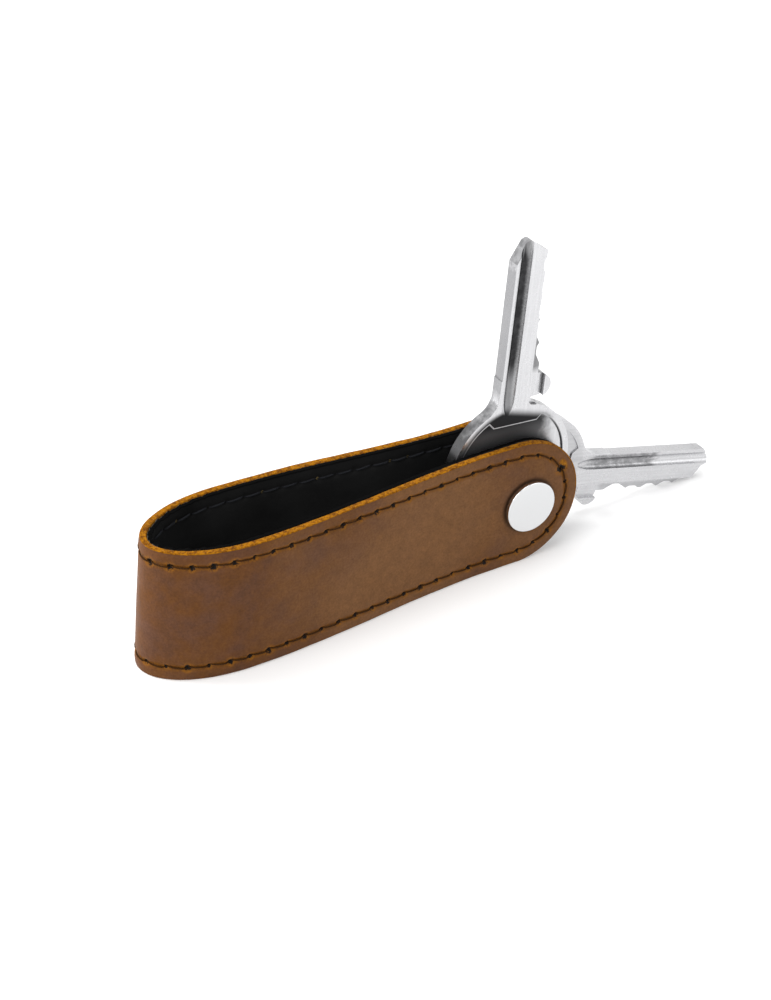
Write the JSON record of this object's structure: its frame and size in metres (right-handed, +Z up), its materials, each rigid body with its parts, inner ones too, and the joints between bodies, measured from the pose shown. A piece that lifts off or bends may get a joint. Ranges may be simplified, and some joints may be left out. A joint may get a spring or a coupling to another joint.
{
  "type": "leather key organiser",
  "caption": "Folded strap of lined brown leather, sewn along its edges, with a screw post through its round ends on which flat keys swivel in and out of the loop.",
  "frame": {"origin": "at the fold, on the strap's lower cut edge, in the middle of the leather's thickness", "axes": "+X from the fold to the screw post, +Y from the front strap to the back strap, +Z up"},
  "size_m": [0.1103, 0.0186, 0.0565],
  "materials": {
    "outer_leather": "oiled pull-up leather, satin",
    "black_lining": "smooth, satin",
    "brown_thread": "waxed",
    "black_thread": "waxed",
    "post_nickel": "polished nickel plate",
    "washer_nylon": "matt",
    "key_nickel": "bright nickel plate, lightly worn"
  },
  "bodies": {
    "strap": {"outer_strap": "outer_leather", "lining_strap": "black_lining", "needle_thread": "brown_thread", "bobbin_thread": "black_thread", "post_barrel": "post_nickel", "post_screw": "post_nickel", "washer_front": "washer_nylon", "washer_middle": "washer_nylon", "washer_back": "washer_nylon"},
    "upright_key": {"key_upright": "key_nickel"},
    "lower_key": {"key_lower": "key_nickel"}
  },
  "joints": [
    {"name": "upright_key_swivel", "type": "hinge", "parent": "strap", "child": "upright_key", "pos_m": [0.067, 0, 0.01065], "axis": [0, -1, 0], "continuous": true},
    {"name": "lower_key_swivel", "type": "hinge", "parent": "strap", "child": "lower_key", "pos_m": [0.067, 0, 0.01065], "axis": [0, -1, 0], "continuous": true}
  ]
}
